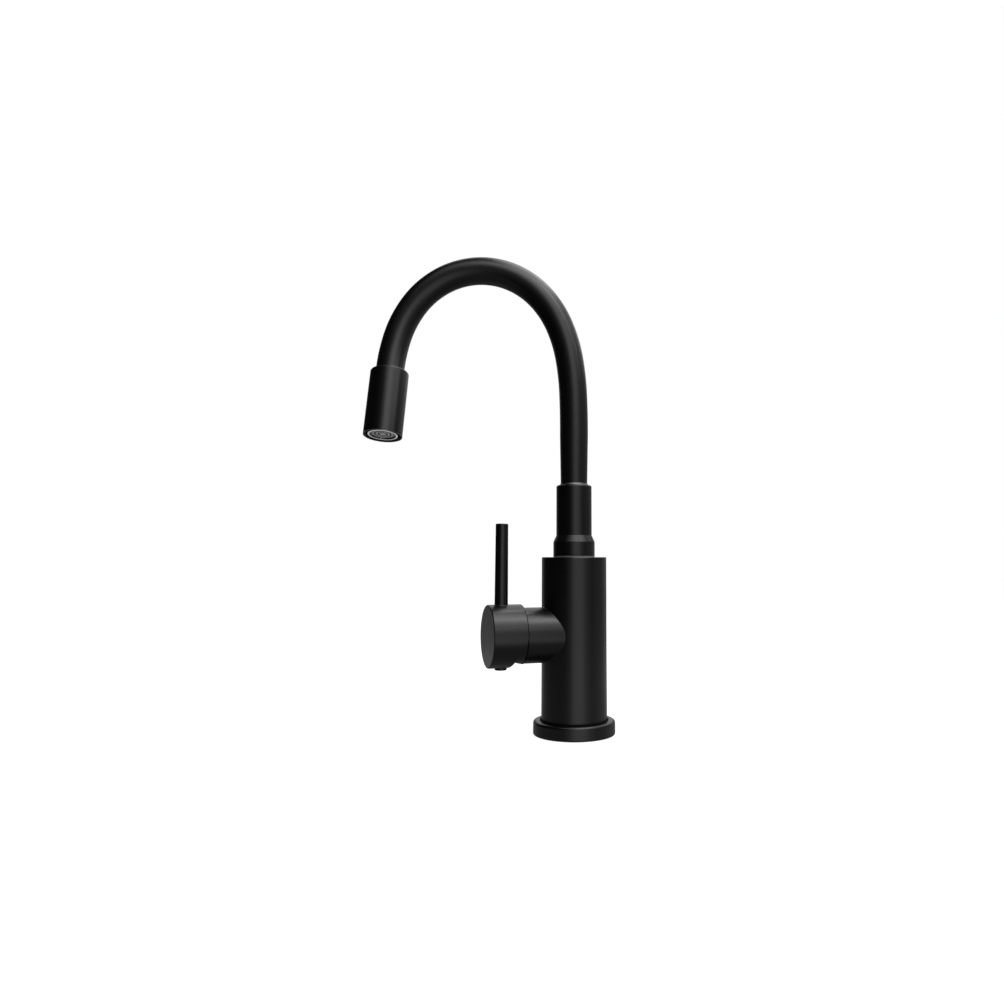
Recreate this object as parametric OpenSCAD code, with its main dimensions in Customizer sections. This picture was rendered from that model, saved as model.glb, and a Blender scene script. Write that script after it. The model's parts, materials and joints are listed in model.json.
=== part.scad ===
// Gooseneck bar faucet: a single-lever mixer for a kitchen or bar sink.
// A round body stands on a base flange. A side housing carries the mixing cartridge and its
// lever, and a swivelling collar on top carries a flexible skinned neck that ends in a straight
// head with an aerator.
// All sizes are millimetres and degrees. The origin is the middle of the underside, on the deck.
// Z points up along the swivel axis and -X points from the body to the outlet.

/* [Base flange] */
// How far the flange stands out round the body
flange_out = 6.15; // [4:0.05:10]
// Height of the flange above the deck
flange_h = 10.4; // [8:0.1:14]
// Rounding of the flange's outer edges
flange_round = 2.1; // [0.6:0.1:2.4]
// Depth of the seat that the body stands in
seat_depth = 2; // [1:0.1:3]
// Width of the open groove round the body's foot
seat_gap = 0.3; // [0.2:0.05:0.6]
// Width of the rubber seal under the flange
seal_w = 3; // [2:0.1:3.8]
// Depth of the seal's groove
seal_h = 2; // [1.5:0.1:3]
// Distance of the seal's groove from the flange's edge
seal_edge = 2; // [1.5:0.1:2.4]

/* [Body] */
// Outer diameter of the body
body_d = 50; // [48:0.1:54]
// Wall of the body tube
body_wall = 2.6; // [2:0.1:3.2]
// Thickness of the body's closed top
roof_h = 3; // [2:0.1:5]
// Rounding of the body's top edge
body_round = 0.6; // [0.3:0.1:1]
// Play between the body tube and the block inside it
block_play = 0.05; // [0.02:0.01:0.1]
// Height of the block's top above the side housing's axis
block_rise = 23.9; // [22:0.1:30]

/* [Deck fixings] */
// Diameter of the tapped hole for the fixing stud
stud_hole_d = 6.8; // [5:0.1:8.5]
// Depth of the tapped hole for the fixing stud
stud_hole_h = 24; // [16:0.5:30]
// Diameter of each tapped hole for a supply hose
hose_hole_d = 9; // [8:0.1:9.5]
// Depth of each tapped hole for a supply hose
hose_hole_h = 14; // [10:0.5:20]
// Sideways distance of each supply hole from the middle
hose_hole_side = 10; // [9.5:0.1:11]
// Distance of the supply holes from the middle, towards the lever
hose_hole_out = 2; // [0:0.1:3]

/* [Side housing] */
// Turn of the side housing from the outlet's side, towards the front
side_angle = 21.8; // [0:0.1:60]
// Height of the housing's axis above the deck
side_z = 74.1; // [70:0.1:80]
// Wall of the housing round its threaded mouth
side_wall = 2; // [1.6:0.1:2.4]
// Width of the step between the housing's bore and its threaded mouth
mouth_step = 1.2; // [1:0.1:1.5]
// Length of the housing beyond the body's side
side_l = 17; // [16.5:0.1:19]
// Room behind the cartridge nut in the threaded mouth
mouth_room = 0.6; // [0.3:0.1:1]

/* [Cartridge] */
// Outer diameter of the cartridge
cartridge_d = 34.8; // [34:0.1:35]
// Play round the cartridge in its bore
cartridge_play = 0.1; // [0.05:0.01:0.2]
// Height of the cartridge's base
cartridge_base_h = 15; // [14:0.1:16]
// Thickness of the fixed ceramic disc
fixed_disc_h = 4; // [3:0.1:4]
// Room round the fixed disc and the rotor's rim in the cartridge's shell
inner_play = 0.8; // [0.5:0.1:1]
// Thickness of the sliding ceramic disc
slide_disc_h = 3.4; // [3:0.1:3.4]
// Play between the sliding disc and the shell at full lift
slide_play = 0.2; // [0.1:0.05:1]
// Diameter of the mixing recess in the sliding disc
recess_d = 11.4; // [9:0.1:14]
// Depth of the mixing recess in the sliding disc
recess_h = 1.7; // [1:0.1:2.4]
// Thickness of the carrier on the sliding disc
carrier_h = 4; // [3.6:0.1:4.2]
// Gap between the carrier and the rotor
carrier_gap = 0.5; // [0.3:0.1:0.6]
// Gap between the two lapped discs
disc_gap = 0.05; // [0.02:0.01:0.1]
// Wall of the cartridge's shell
cartridge_wall = 2; // [1.6:0.1:2]
// Thickness of the cartridge's roof
roof_wall = 1.25; // [1:0.05:1.5]
// Height of the cartridge's collar above its roof
cartridge_collar_h = 5.6; // [5:0.1:6]
// Wall of the cartridge's collar
cartridge_collar_wall = 2; // [1.5:0.1:2.2]
// Diameter of each water port
port_d = 5.6; // [4.5:0.1:6]
// Height of the inlet ports below the housing's axis
inlet_drop = 4; // [3:0.1:5]
// Height of the outlet port above the housing's axis
outlet_rise = 8; // [7:0.1:9]
// Thickness of each port seal
port_seal_h = 1.5; // [1:0.1:2]
// Width of each port seal's ring
port_seal_w = 1.2; // [0.8:0.1:1.4]
// Diameter of the mixed water's way up through the block and the spout seat
outlet_d = 8; // [6:0.1:9]

/* [Lever mechanism] */
// Height of the lever's pivot above the rotor's foot
pivot_rise = 7.05; // [6.8:0.05:7.4]
// Largest lift of the lever
lift_max = 25; // [15:0.5:26]
// Diameter of the pivot pin
pin_d = 3; // [2.5:0.1:3.2]
// Distance of the pin's ends inside the rotor's side
pin_in = 0.9; // [0.5:0.1:3]
// Radial play of the stem on the pin
pin_play = 0.05; // [0.02:0.01:0.1]
// Radial play of the rotor in the cartridge
rotor_play = 0.08; // [0.04:0.01:0.1]
// Width of the rotor's retaining rim
rotor_rim = 1.2; // [1:0.1:1.4]
// Height of the rotor's retaining rim
rotor_rim_h = 1.6; // [1.2:0.1:1.8]
// Gap between the rotor's rim and the cartridge's roof
rim_play = 0.2; // [0.1:0.05:0.3]
// Height of the rotor's top beyond the pivot
rotor_top = 2.4; // [2:0.1:2.6]
// Width across the stem's square shank
stem_w = 7; // [6:0.1:7]
// Length of the stem beyond the pivot
stem_l = 18; // [17:0.1:18.5]
// Diameter of the stem's ball
ball_d = 4.8; // [4.4:0.1:4.8]
// Diameter of the stem's lower arm
arm_d = 3.6; // [3:0.1:3.8]
// Diameter of the stem's pivot barrel
barrel_d = 7.8; // [7.2:0.1:8]
// Play round the stem and its ball
stem_play = 0.15; // [0.1:0.01:0.2]

/* [Nut and bonnet] */
// Depth of the cartridge nut in the housing's mouth
nut_sink = 2; // [1.6:0.1:2.4]
// Height of the cartridge nut
nut_h = 3.4; // [3:0.1:3.6]
// Width of each spanner slot in the nut
nut_slot_w = 3; // [2:0.1:4]
// Depth of each spanner slot in the nut
nut_slot_h = 1.7; // [1:0.1:2.4]
// Play between the nut and its neighbours
nut_play = 0.1; // [0.05:0.01:0.15]
// Height of the rounded bonnet over the nut
bonnet_h = 8; // [6:0.1:8]
// Radius of the bonnet's rounding
bonnet_round = 14; // [13:0.1:18]
// Wall of the bonnet
bonnet_wall = 1.5; // [1:0.1:1.6]

/* [Lever cap] */
// Distance of the cap's face from the housing's end
cap_l = 26.3; // [26:0.1:30]
// Gap between the housing's end and the cap's rear rim
cap_gap = 0.25; // [0.2:0.05:0.6]
// Radial gap between the bonnet and the cap's skirt
cap_play = 0.65; // [0.6:0.05:1]
// Wall of the cap's skirt
cap_wall = 1.9; // [1.5:0.1:1.9]
// Thickness of the cap's face
face_h = 3; // [2:0.1:3]
// Rounding of the cap's edges
cap_round = 0.8; // [0.3:0.1:1.2]
// Diameter of the hub inside the cap
hub_d = 18; // [16:0.1:18]
// Distance of the hub's inner end from the cap's face
hub_l = 16; // [15:0.1:16]
// Reach of the screw's boss from the cap's axis
screw_boss = 11; // [10.6:0.1:11]
// Diameter of the screw's boss
screw_boss_d = 10; // [8:0.1:11]

/* [Lever rod] */
// Distance of the rod's axis from the cap's face
rod_back = 10.5; // [9.5:0.1:11.5]
// Height of the rod's top above the housing's axis
rod_top = 83.7; // [60:0.1:110]
// Diameter of the rod at the cap
rod_foot_d = 10.1; // [8:0.1:11]
// Diameter of the rod at its top
rod_top_d = 9.5; // [7:0.1:11]
// Chamfer of the rod's top edge
rod_chamfer = 0.4; // [0.2:0.1:0.8]
// Diameter of the rod's threaded stub
stub_d = 6; // [5:0.1:7]
// Depth of the rod's seat in the cap
rod_sink = 1; // [0.8:0.1:1.4]
// Wall of the boss round the rod's stub
rod_boss = 1.5; // [1:0.1:3]
// Play round the rod's seat
rod_play = 0.1; // [0.05:0.01:0.2]
// Diameter of the clamping screw
screw_d = 5; // [4:0.1:6]
// Length of the clamping screw
screw_l = 7; // [5:0.1:8]
// Depth of the screw's socket
screw_key_h = 3.5; // [2:0.1:4.5]
// Width across the flats of the screw's socket
screw_key = 2.5; // [2:0.1:3]
// Diameter of the index plug's head
plug_d = 9.2; // [8:0.1:10]
// Height that the index plug stands out
plug_h = 1.5; // [1:0.1:2]
// Depth that the index plug's head sits in the cap
plug_sink = 0.7; // [0.5:0.1:1]
// Reach of the index plug's stem inside the cap's wall
plug_tip_h = 0.4; // [0.2:0.1:1]
// Diameter of the plug's stem
plug_stem_d = 7; // [6:0.1:7.4]

/* [Swivel] */
// Thickness of the glide ring on the body's top
glide_h = 1; // [0.6:0.1:1.5]
// Rounding of the glide ring's upper edge
glide_round = 0.3; // [0.1:0.1:0.5]
// Length of the spout seat above the block
seat_l = 34.7; // [33:0.1:45]
// Outer diameter of the spout seat
seat_bush_d = 29; // [28:0.1:30]
// Height of the spout seat's lower flange
bush_flange_h = 6; // [5:0.1:7]
// Outer diameter of the seal under the spout seat
seat_seal_d = 16; // [14:0.1:20]
// Width of the seal under the spout seat
seat_seal_w = 2; // [1:0.1:2]
// Height of the seal under the spout seat
seat_seal_h = 1.5; // [1:0.1:2]
// Diameter of the swivel spigot
spigot_d = 22; // [21:0.1:22]
// Radial play of the spigot in its seat
spigot_play = 0.06; // [0.03:0.01:0.1]
// Gap between the spigot's foot and the floor of its seat
spigot_gap = 1.7; // [1.2:0.1:3]
// Width of the spigot's shoulder above the glide ring
spigot_shoulder = 1; // [0.6:0.1:1.4]
// Bore of the spigot and of the head's nipple
spigot_bore = 6; // [5:0.1:6.4]
// Section of each swivel seal
ring_section = 2.6; // [2:0.1:3]
// Spacing of the two swivel seals
ring_pitch = 8; // [6:0.1:8]
// Depth of the upper swivel seal below the body's top
ring_drop = 6; // [5:0.1:7]
// Play above and below a seal in its groove
groove_play = 0.1; // [0.05:0.01:0.2]
// Height of the split ring that holds the spigot down
clip_h = 1.4; // [1:0.1:1.6]
// How far the split ring stands out of the spigot
clip_w = 1.3; // [1:0.1:1.4]
// Height of the split ring above the floor of the spout seat
clip_rise = 4; // [3.4:0.1:5]
// Depth of the split ring's groove in the spigot
clip_groove = 1.4; // [1:0.1:1.6]
// Play round the split ring in the spout seat's groove
clip_play = 0.3; // [0.2:0.05:0.4]
// Opening of the split ring
clip_gap = 3; // [2:0.1:5]

/* [Collar] */
// Wall of the collar's sleeve round the spigot
collar_wall = 1.8; // [1.5:0.1:2.5]
// How far the collar's foot stands out round its sleeve
collar_flare = 2.3; // [1.5:0.1:3.2]
// Height of the collar's foot
collar_foot_h = 10.8; // [8:0.1:14]
// Height of the cone above the foot
collar_cone_h = 5; // [3:0.1:7]
// Height of the collar's top above the body's top
collar_h = 56; // [50:0.1:62]
// Rounding of the collar's top edge
collar_round = 1.5; // [0.6:0.1:1.8]
// Height of each bright lip ring where the neck enters
lip_h = 1.3; // [1:0.1:2.4]
// Depth of each lip ring inside its sleeve
lip_sink = 5; // [3:0.1:7]
// Play between the neck and a lip ring
lip_play = 0.1; // [0.05:0.01:0.2]
// Wall of a lip ring
lip_wall = 0.8; // [0.6:0.1:1]
// Width of a lip ring's outer edge
lip_edge = 0.2; // [0.1:0.05:0.4]

/* [Neck] */
// How much the neck's radius grows above the collar
neck_widen = 0.7; // [0.4:0.1:1]
// Height over which the neck widens
neck_taper_h = 40; // [20:1:60]
// Length of the straight neck above its taper
neck_plain = 4; // [3:0.5:40]
// Length of each curved stretch of the neck
stretch_l = 29.5; // [28:0.1:34]
// Sideways lean of the neck's end, towards the front
side_lean = 11.2; // [0:0.1:12]
// How late along the neck the sideways lean comes in
lean_power = 5; // [3:0.5:6]
// Wall of the neck's skin
skin_wall = 2.4; // [2:0.1:2.6]
// Wall of the neck's bendable metal core
core_wall = 1.4; // [1:0.1:1.6]
// Play between the neck's layers
layer_play = 0.2; // [0.1:0.05:0.3]
// Outer diameter of the water hose
hose_d = 12.4; // [11:0.1:12.6]
// Bore of the water hose
hose_bore = 8.4; // [8:0.1:8.6]
// Play between the water hose and its barbs
barb_play = 0.05; // [0.02:0.01:0.1]
// Height of the water hose's end above the neck's foot
hose_rise = 2; // [1:0.1:3]
// Depth of the neck in the collar
neck_sink = 36; // [34:0.5:38]
// Length of each hose ferrule
ferrule_l = 13; // [10:0.5:14]

/* [Head] */
// Width of the head's shoulder round its lip ring
head_shoulder = 3; // [2.6:0.1:4]
// Length of the head
head_l = 53.7; // [50:0.1:64]
// Rounding of the head's top edge
head_round = 1.5; // [0.6:0.1:1.8]
// Depth of the neck in the head
head_sink = 8; // [7:0.1:10]
// Wall of the head round its inner thread
head_wall = 1.7; // [1.5:0.1:2]
// Width of the bevel round the outlet
mouth_bevel = 1.3; // [0.8:0.1:1.5]
// Length of the nipple inside the head
nipple_l = 26; // [24:0.1:28]
// Gap between the nipple's step and the head's thread
nipple_gap = 0.6; // [0.3:0.1:1]
// Width of the nipple's step round the aerator
nipple_wall = 1; // [0.8:0.1:1.2]
// Distance of the nipple's open end from the aerator's end
nipple_back = 3; // [2:0.1:4]
// Width of the ledge under the aerator
nipple_ledge = 3; // [2:0.1:4]
// Thickness of the nipple's floor at the ledge
nipple_floor = 4; // [3:0.1:5]
// Section of the nipple's seal
nipple_ring = 2; // [1.6:0.1:2.2]
// Distance of the nipple's seal from the nipple's shoulder
nipple_drop = 5; // [4:0.1:7]

/* [Aerator] */
// Rounding of the aerator ring's edge
aerator_round = 0.4; // [0.2:0.1:0.6]
// Wall of the aerator's ring
aerator_wall = 1.4; // [1:0.1:1.6]
// Height of the aerator's ring
aerator_h = 16; // [14:0.1:17]
// Depth of the aerator inside the head's mouth
aerator_back = 0.6; // [0.4:0.1:1.5]
// Height of the aerator's insert
insert_h = 9; // [7:0.1:10]
// Depth of the insert inside the aerator's ring
insert_back = 0.8; // [0.4:0.1:1.2]
// Width of the outlet gaps in the insert
insert_gap = 1.1; // [0.8:0.1:1.3]
// Number of slots round the insert
slot_count = 24; // [16:1:28]
// Distance of the slots' middle from the insert's edge
slot_edge = 1.4; // [1.3:0.1:2]
// Distance of the first round gap from the slots' middle
gap_edge = 2.2; // [2:0.1:3]
// Spacing of the round gaps
gap_pitch = 2.8; // [2:0.1:3]
// Thickness of the insert under the round gaps
insert_floor = 2; // [1:0.1:4]
// Height of the aerator's flat seal
aerator_seal_h = 2; // [1.5:0.1:2.5]
// Width of the aerator's flat seal
aerator_seal_w = 3; // [2:0.1:4]
// Thickness of the aerator's screen
screen_h = 0.8; // [0.5:0.1:1]

/* [Hidden] */
$fn = 96;

black = "#232324";
brass = "#b08d4a";
steel = "#9a9c9f";
rubber = "#1a1a1a";
plastic = "#c9c9c4";
ceramic = "#f0efea";

over = 1;              // how far a cut runs past the face that it opens
seam_step = 0.15;      // how much thinner every second hidden stretch of the neck is
seam_lap = 0.05;       // how far a thinner stretch reaches into its neighbours
seam_gap = 0.02;       // hair-thin joint between two stretches of the neck's skin
bridge_drop = 0.6;     // depth of that joint, down to the bridge that joins the stretches
bridge_l = 3;          // length of each bridge
body_in = body_d / 2 - body_wall;
block_r = body_in - block_play;
block_top = side_z + block_rise;
body_top = block_top + seat_l;
flange_d = body_d + 2 * flange_out;
shell_foot = flange_h - seat_depth;
seal_r = flange_d / 2 - seal_edge;

// Radii of the side housing and of the cartridge inside it, from the cartridge's own size
side_bore = cartridge_d / 2 + cartridge_play;
mouth_r = side_bore + mouth_step;
side_d = 2 * (mouth_r + side_wall);
nut_d = 2 * (mouth_r - nut_play);
shell_in = cartridge_d / 2 - cartridge_wall;
fixed_disc_d = 2 * (shell_in - inner_play);
rotor_d = fixed_disc_d - 2 * rotor_rim;
pin_l = rotor_d - 2 * pin_in;
cartridge_collar_d = rotor_d + 2 * (rotor_play + cartridge_collar_wall);
cap_in = side_d / 2 + cap_play;
cap_d = 2 * (cap_in + cap_wall);

// Heights in the cartridge, measured from its seat
fixed_disc_rise = cartridge_base_h;
slide_disc_rise = fixed_disc_rise + fixed_disc_h + disc_gap;
carrier_rise = slide_disc_rise + slide_disc_h;
rotor_rise = carrier_rise + carrier_h + carrier_gap;
roof_rise = rotor_rise + rotor_rim_h + rim_play;
shoulder_rise = roof_rise + roof_wall;

// Places along the side housing's axis, measured from the body's axis
side_end = body_d / 2 + side_l;
cartridge_seat = side_end - nut_sink - shoulder_rise;
fixed_disc_at = cartridge_seat + fixed_disc_rise;
slide_disc_at = cartridge_seat + slide_disc_rise;
carrier_at = cartridge_seat + carrier_rise;
ball_at = carrier_at + ball_d / 2 + stem_play;
rotor_at = cartridge_seat + rotor_rise;
rim_end = rotor_at + rotor_rim_h;
roof_at = cartridge_seat + roof_rise;
shoulder_at = cartridge_seat + shoulder_rise;
cartridge_end = shoulder_at + cartridge_collar_h;
pivot_out = rotor_at + pivot_rise;
stem_arm = pivot_out - ball_at;
slide_disc_d = 2 * (shell_in - stem_arm * sin(lift_max) - slide_play);
cap_rear = side_end + cap_gap;
cap_face = side_end + cap_l;
rod_at = cap_face - rod_back;

// Radii of the spout, from the hose outwards and from the spigot outwards
core_in = hose_d / 2 + layer_play;
core_out = core_in + core_wall;
skin_in = core_out + layer_play;
neck_foot_r = skin_in + skin_wall;
neck_r = neck_foot_r + neck_widen;
head_lip_r = neck_r + lip_play + lip_wall;
head_d = 2 * (head_lip_r + head_shoulder);
head_bore = head_d - 2 * head_wall;
aerator_d = head_bore - 2 * (nipple_gap + nipple_wall);
clip_d = spigot_d + 2 * clip_w;
collar_d = spigot_d + 2 * (spigot_shoulder + collar_wall);
collar_foot_d = collar_d + 2 * collar_flare;
collar_top = body_top + collar_h;
neck_straight = neck_taper_h + neck_plain;

// ---- small helpers ----------------------------------------------------------------------

// A solid of revolution whose outer corners are rounded: radius r, from z = low to z = high
module rounded_disc(r, low, high, round_low, round_high) {
    rotate_extrude() union() {
        translate([0, low + round_low])
            square([r, high - low - round_low - round_high]);
        translate([0, low])
            square([r - round_low, high - low - round_high]);
        translate([0, high - round_high - over / 100])
            square([r - round_high, round_high + over / 100]);
        if (round_low > 0)
            translate([r - round_low, low + round_low])
                circle(r = round_low);
        if (round_high > 0)
            translate([r - round_high, high - round_high])
                circle(r = round_high);
    }
}

// A plain ring between two radii
module ring(r_out, r_in, low, high) {
    translate([0, 0, low])
        difference() {
            cylinder(r = r_out, h = high - low);
            translate([0, 0, -over])
                cylinder(r = r_in, h = high - low + 2 * over);
        }
}

// A cylinder that starts at z = low
module rod_z(r, low, high) {
    translate([0, 0, low])
        cylinder(r = r, h = high - low);
}

// A round rubber ring: r is the middle of its section
module seal_ring(r, section, at) {
    translate([0, 0, at])
        rotate_extrude()
            translate([r, 0])
                circle(d = section);
}

// Puts its children on the side housing's axis: Z runs outwards, X up, Y to the rear
module at_side() {
    translate([0, 0, side_z])
        rotate([0, 0, 180 + side_angle])
            rotate([0, 90, 0])
                rotate([0, 0, 180])
                    children();
}

// Inside at_side: Z runs upwards from the housing's axis, through the rod's middle
module at_rod() {
    translate([0, 0, rod_at])
        rotate([0, 90, 0])
            children();
}

// ---- the neck's route --------------------------------------------------------------------

// Turn of each curved stretch, from the collar to the head
neck_turns = [2.5, 7.5, 14, 20, 24.5, 27, 27, 24.5, 19.5, 12];
steps = len(neck_turns);
neck_l = neck_straight + steps * stretch_l;

function sum_to(list, n) = n <= 0 ? 0 : list[n - 1] + sum_to(list, n - 1);
// Tangent after stretch n: the turn builds up in the XZ plane, the lean comes in late
function lean_after(n) =
    n <= 0 ? 0 : side_lean * pow((neck_straight + n * stretch_l) / neck_l, lean_power);
function tangent(n) =
    let (turn = sum_to(neck_turns, n), lean = lean_after(n))
    [-sin(turn) * cos(lean), -sin(lean), cos(turn) * cos(lean)];
// Normal of stretch n: points from its start to the middle of its arc
function bend_of(n) = acos(tangent(n) * tangent(n + 1));
function normal_of(n) =
    (tangent(n + 1) - cos(bend_of(n)) * tangent(n)) / sin(bend_of(n));
function radius_of(n) = stretch_l / (bend_of(n) * PI / 180);
function start_of(n) =
    n <= 0 ? [0, 0, collar_top + neck_straight]
    : start_of(n - 1)
        + radius_of(n - 1) * sin(bend_of(n - 1)) * tangent(n - 1)
        + radius_of(n - 1) * (1 - cos(bend_of(n - 1))) * normal_of(n - 1);

// Puts its children at the start of stretch n, or at the neck's end: Z runs on along the neck
module at_neck(n) {
    way = tangent(n);
    side = cross(way, [0, 1, 0]) / norm(cross(way, [0, 1, 0]));
    front = cross(way, side);
    place = start_of(n);
    multmatrix([
        [side[0], front[0], way[0], place[0]],
        [side[1], front[1], way[1], place[1]],
        [side[2], front[2], way[2], place[2]],
        [0, 0, 0, 1]
    ])
        children();
}

// Inside the head: Z runs out of it, from the neck's end
module at_head() {
    at_neck(steps)
        children();
}

// One curved stretch of a round bar, made longer at both ends by `lap` millimetres
module bend(n, r, lap) {
    middle = start_of(n) + radius_of(n) * normal_of(n);
    out_way = -normal_of(n);
    along = tangent(n);
    across = cross(out_way, along);
    lap_turn = lap / radius_of(n) * 180 / PI;
    multmatrix([
        [out_way[0], along[0], across[0], middle[0]],
        [out_way[1], along[1], across[1], middle[1]],
        [out_way[2], along[2], across[2], middle[2]],
        [0, 0, 0, 1]
    ])
        rotate([0, 0, -lap_turn])
            rotate_extrude(angle = bend_of(n) + 2 * lap_turn)
                translate([radius_of(n), 0])
                    circle(r = r);
}

// A round bar inside the neck, from `below` under the collar's top to `beyond` its end. Every
// second stretch is a little thinner and reaches into its neighbours, so that all join in one.
module inner_bar(r, below, beyond) {
    rod_z(r, collar_top - below, collar_top + neck_straight);
    for (n = [0 : steps - 1])
        bend(n, n % 2 == 0 ? r - seam_step : r, n % 2 == 0 ? seam_lap : 0);
    at_head()
        rod_z(r - seam_step, -seam_lap, beyond);
}

// The skin's outside: stretches of one thickness a hair apart, joined by bridges inside them
module outer_bar(r, below, beyond) {
    rod_z(r, collar_top - below, collar_top + neck_straight - seam_gap / 2);
    for (n = [0 : steps - 1])
        bend(n, r, -seam_gap / 2);
    at_head()
        rod_z(r, seam_gap / 2, beyond);
    for (n = [0 : steps])
        at_neck(n)
            rod_z(r - bridge_drop, -bridge_l / 2, bridge_l / 2);
}

// ---- base --------------------------------------------------------------------------------

module base_flange() {
    color(black)
        difference() {
            rounded_disc(flange_d / 2, 0, flange_h, flange_round / 2, flange_round);
            rod_z(block_r + block_play, -over, flange_h + over);
            rod_z(body_d / 2 + seat_gap, shell_foot, flange_h + over);
            ring(seal_r, seal_r - seal_w, -over, seal_h);
        }
}

module base_seal() {
    color(rubber)
        ring(seal_r, seal_r - seal_w, 0, seal_h);
}

// ---- body --------------------------------------------------------------------------------

module body_shell() {
    color(black)
        difference() {
            rounded_disc(body_d / 2, shell_foot, body_top, 0, body_round);
            rod_z(body_in, shell_foot - over, body_top - roof_h);
            rod_z(seat_bush_d / 2, body_top - roof_h - over, body_top + over);
            at_side()
                rod_z(side_bore, cartridge_seat, body_d);
        }
}

// The housing is brazed on: its inner end follows the round side of the body
module side_housing() {
    color(black)
        difference() {
            at_side()
                cylinder(d = side_d, h = side_end);
            rod_z(body_d / 2, 0, body_top);
            at_side() {
                rod_z(side_bore, 0, side_end + over);
                rod_z(mouth_r, side_end - nut_sink - mouth_room, side_end + over);
            }
        }
}

// The block that fills the body: water comes up at its sides and leaves through its middle
module waterway_block() {
    color(brass)
        difference() {
            rod_z(block_r, 0, block_top);
            rod_z(stud_hole_d / 2, -over, stud_hole_h);
            rod_z(outlet_d / 2, side_z + outlet_rise, block_top + over);
            at_side() {
                rod_z(side_bore, cartridge_seat, body_d);
                translate([outlet_rise, 0, 0])
                    rod_z(port_d / 2, 0, body_d / 2);
                for (side = [-1, 1])
                    translate([-inlet_drop, side * hose_hole_side, hose_hole_out])
                        cylinder(d = port_d, h = body_d / 2);
            }
            rotate([0, 0, 180 + side_angle])
                for (side = [-1, 1])
                    translate([hose_hole_out, side * hose_hole_side, 0]) {
                        rod_z(hose_hole_d / 2, -over, hose_hole_h);
                        rod_z(port_d / 2, 0, side_z - inlet_drop);
                    }
        }
}

// The turned seat that the swivelling spigot runs in
bush_floor = block_top + bush_flange_h;
clip_at = bush_floor + clip_rise;
module spout_seat() {
    color(brass)
        difference() {
            union() {
                rod_z(block_r, block_top, bush_floor);
                rod_z(seat_bush_d / 2, block_top, body_top);
            }
            rod_z(outlet_d / 2, block_top - over, bush_floor + over);
            rod_z(spigot_d / 2 + spigot_play, bush_floor, body_top + over);
            rod_z(clip_d / 2 + clip_play, clip_at - clip_play, clip_at + clip_h + clip_play);
            ring(seat_seal_d / 2, seat_seal_d / 2 - seat_seal_w, block_top - over,
                 block_top + seat_seal_h);
        }
}

module seat_seal() {
    color(rubber)
        ring(seat_seal_d / 2, seat_seal_d / 2 - seat_seal_w, block_top,
             block_top + seat_seal_h);
}

module glide_ring() {
    color(plastic)
        difference() {
            rounded_disc(collar_foot_d / 2, body_top, body_top + glide_h, 0, glide_round);
            rod_z(spigot_d / 2 + spigot_play, body_top - over, body_top + glide_h + over);
        }
}

// ---- cartridge ---------------------------------------------------------------------------

// The three water ports, drawn inside at_side
module ports(r, low, high) {
    translate([outlet_rise, 0, 0])
        rod_z(r, low, high);
    for (side = [-1, 1])
        translate([-inlet_drop, side * hose_hole_side, 0])
            rod_z(r, low, high);
}

module cartridge_base() {
    color(plastic) at_side()
        difference() {
            rod_z(cartridge_d / 2, cartridge_seat, fixed_disc_at);
            ports(port_d / 2, cartridge_seat - over, fixed_disc_at + over);
            ports(port_d / 2 + port_seal_w, cartridge_seat - over, cartridge_seat + port_seal_h);
        }
}

module port_seals() {
    color(rubber) at_side()
        difference() {
            ports(port_d / 2 + port_seal_w, cartridge_seat, cartridge_seat + port_seal_h);
            ports(port_d / 2, cartridge_seat - over, cartridge_seat + port_seal_h + over);
        }
}

module fixed_disc() {
    color(ceramic) at_side()
        difference() {
            rod_z(fixed_disc_d / 2, fixed_disc_at, fixed_disc_at + fixed_disc_h);
            ports(port_d / 2, fixed_disc_at - over, slide_disc_at);
        }
}

module cartridge_shell() {
    color(plastic) at_side()
        difference() {
            union() {
                rod_z(cartridge_d / 2, fixed_disc_at, shoulder_at);
                rod_z(cartridge_collar_d / 2, fixed_disc_at, cartridge_end);
            }
            rod_z(shell_in, fixed_disc_at - over, roof_at);
            rod_z(rotor_d / 2 + rotor_play, roof_at - over, cartridge_end + over);
        }
}

module cartridge_nut() {
    color(brass) at_side()
        difference() {
            ring(nut_d / 2, cartridge_collar_d / 2 + nut_play, shoulder_at, shoulder_at + nut_h);
            for (turn = [0 : 90 : 270])
                rotate([0, 0, turn])
                    translate([cartridge_collar_d / 2 - over, -nut_slot_w / 2,
                               shoulder_at + nut_h - nut_slot_h])
                        cube([nut_d, nut_slot_w, nut_h]);
        }
}

// The rounded trim ring that closes the gap under the cap
bonnet_mid = side_d / 2 - bonnet_round;
bonnet_in = nut_d / 2 + nut_play;
module bonnet() {
    color(black) at_side()
        rotate_extrude()
            difference() {
                intersection() {
                    translate([bonnet_mid, side_end])
                        circle(r = bonnet_round);
                    translate([bonnet_mid + over, side_end])
                        square([bonnet_round + over, bonnet_h]);
                }
                intersection() {
                    translate([bonnet_mid, side_end])
                        circle(r = bonnet_round - bonnet_wall);
                    translate([0, side_end - over])
                        square([bonnet_in, bonnet_h + 2 * over]);
                }
                translate([0, side_end - over])
                    square([bonnet_in, shoulder_at + nut_h - side_end + nut_play + over]);
            }
}

// ---- lever mechanism ---------------------------------------------------------------------

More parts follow.
